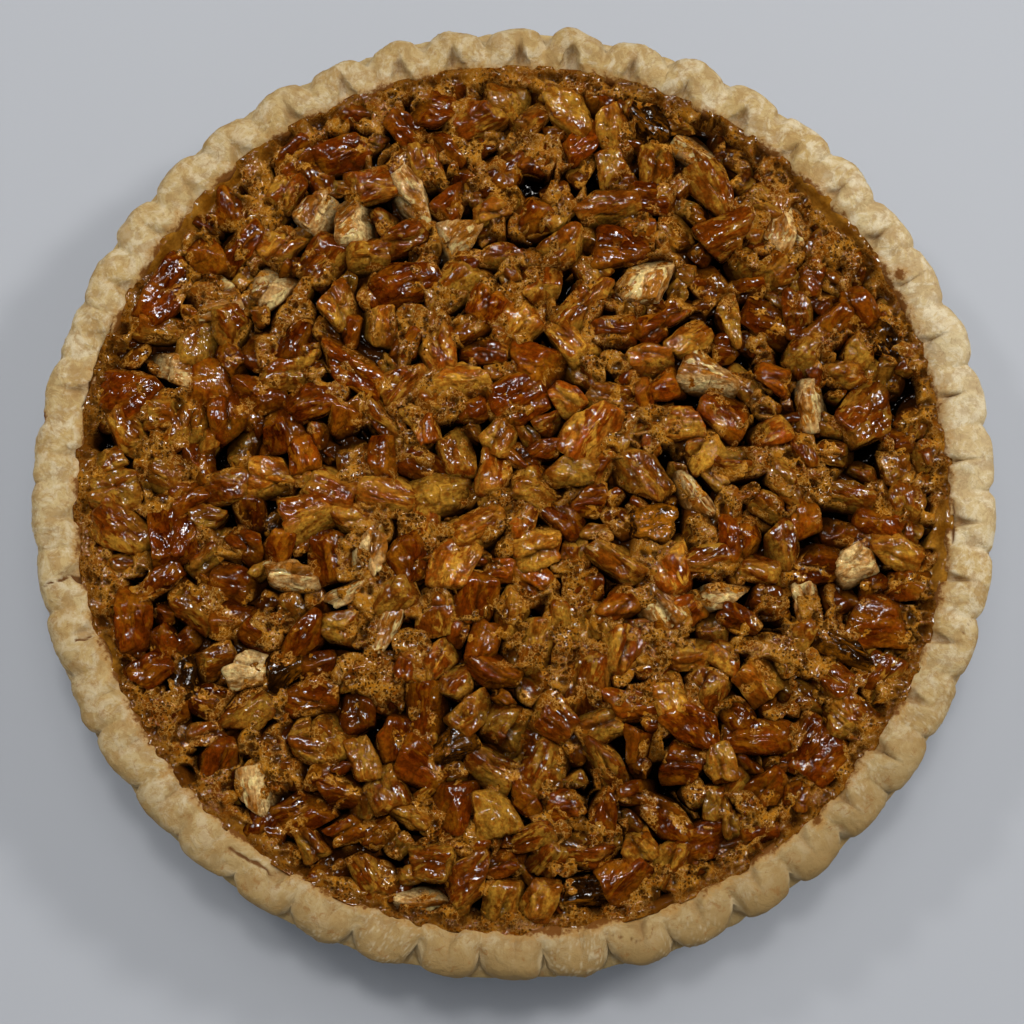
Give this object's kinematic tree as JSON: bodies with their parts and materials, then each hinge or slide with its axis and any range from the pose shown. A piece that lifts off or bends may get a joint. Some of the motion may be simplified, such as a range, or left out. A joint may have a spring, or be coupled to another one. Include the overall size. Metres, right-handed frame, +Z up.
{
  "type": "pecan pie",
  "caption": "Whole ten inch pecan pie in a thin metal pie tin: pale crust with a thick fluted rim, and a flat top of broken pecans under a syrup glaze.",
  "frame": {"origin": "middle of the tin's flat base, on the surface that the pie stands on", "axes": "+Z up through the pie, +X to the right and +Y away from someone looking at it from the front; the pie is round, so X and Y are set by the nuts and flutes alone"},
  "size_m": [0.253, 0.2535, 0.0383],
  "materials": {
    "tin_metal": "pressed sheet, satin",
    "baked_pastry": "baked shortcrust, pale gold and powdery",
    "glazed_filling": "syrup glaze over baked pecans"
  },
  "bodies": {
    "root": {"tin": "tin_metal", "crust": "baked_pastry", "filling": "glazed_filling"}
  },
  "joints": []
}
